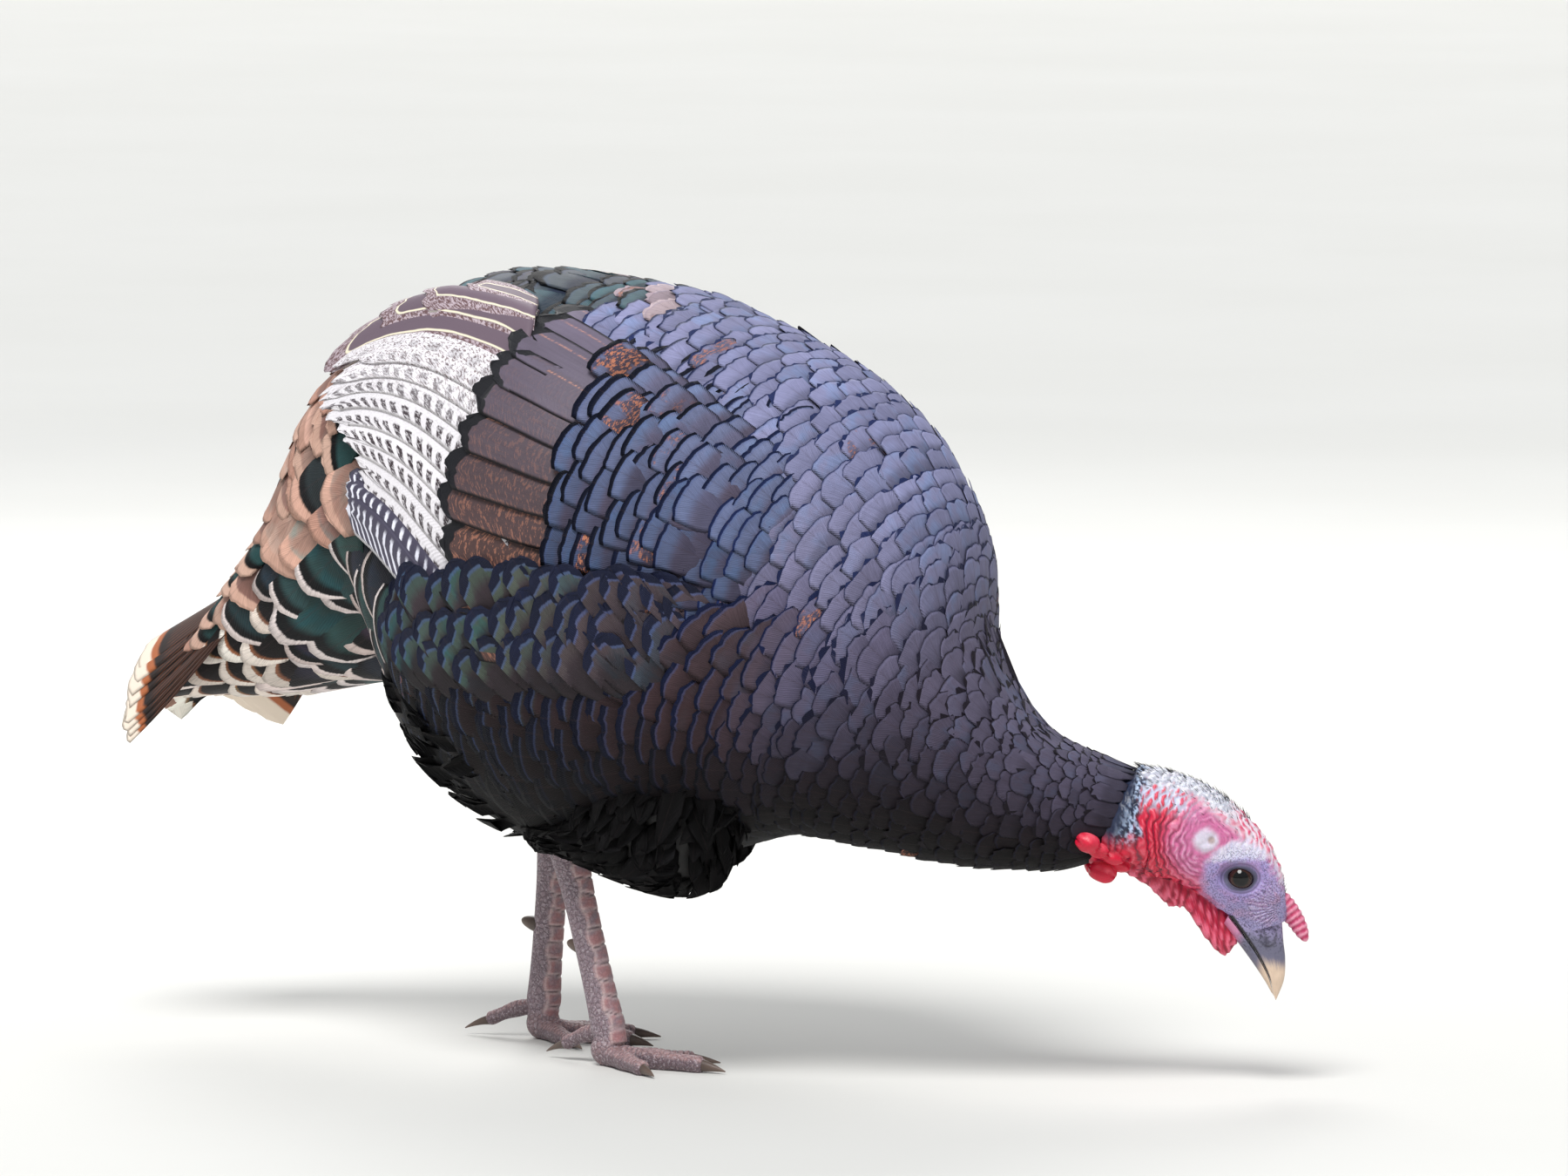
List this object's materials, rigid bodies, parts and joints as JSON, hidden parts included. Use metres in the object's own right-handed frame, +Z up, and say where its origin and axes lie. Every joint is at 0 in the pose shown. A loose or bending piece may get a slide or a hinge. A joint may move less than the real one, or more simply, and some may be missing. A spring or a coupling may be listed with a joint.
{
  "type": "wild turkey figure",
  "caption": "Life-size still model of a male wild turkey standing mid-step with its neck lowered and bill near the ground, wings folded.",
  "frame": {"origin": "on the floor, under the middle of the bird's length and width", "axes": "+X from tail to head, the way the bird faces; +Y to the bird's left; +Z up from the soles"},
  "size_m": [0.7354, 0.2992, 0.4563],
  "materials": {
    "body_plumage": "overlapping dark feathers with a bronze, green and violet sheen",
    "wing_plumage": "vaned feathers, barred brown, black and white",
    "tail_plumage": "dark brown vaned feathers with rufous bars and pale tips",
    "bare_skin": "finely pebbled and folded bare skin, white, violet and red",
    "red_skin": "moist wrinkled red skin",
    "bill_horn": "smooth horn, grey at the root and cream at the tip",
    "eye": "wet dark brown",
    "leg_scales": "plated and netted scales, grey-pink",
    "claw_horn": "worn dark horn"
  },
  "bodies": {
    "root": {"rump": "body_plumage", "trunk": "body_plumage", "neck_lower": "body_plumage", "neck_upper": "body_plumage", "head": "bare_skin", "tail": "tail_plumage", "bill_upper": "bill_horn", "bill_lower": "bill_horn", "snood": "red_skin", "dewlap": "red_skin", "caruncle_right_upper": "red_skin", "caruncle_right_lower": "red_skin", "caruncle_left_upper": "red_skin", "caruncle_left_lower": "red_skin", "eye_right": "eye", "eye_left": "eye", "wing_right_primaries": "wing_plumage", "wing_right_secondaries": "wing_plumage", "wing_right_tertials": "wing_plumage", "wing_right_coverts": "wing_plumage", "thigh_right": "body_plumage", "shank_right": "leg_scales", "foot_right": "leg_scales", "spur_right": "claw_horn", "claw_right_inner": "claw_horn", "claw_right_middle": "claw_horn", "claw_right_outer": "claw_horn", "claw_right_hind": "claw_horn", "wing_left_primaries": "wing_plumage", "wing_left_secondaries": "wing_plumage", "wing_left_tertials": "wing_plumage", "wing_left_coverts": "wing_plumage", "thigh_left": "body_plumage", "shank_left": "leg_scales", "foot_left": "leg_scales", "spur_left": "claw_horn", "claw_left_inner": "claw_horn", "claw_left_middle": "claw_horn", "claw_left_outer": "claw_horn", "claw_left_hind": "claw_horn"}
  },
  "joints": []
}
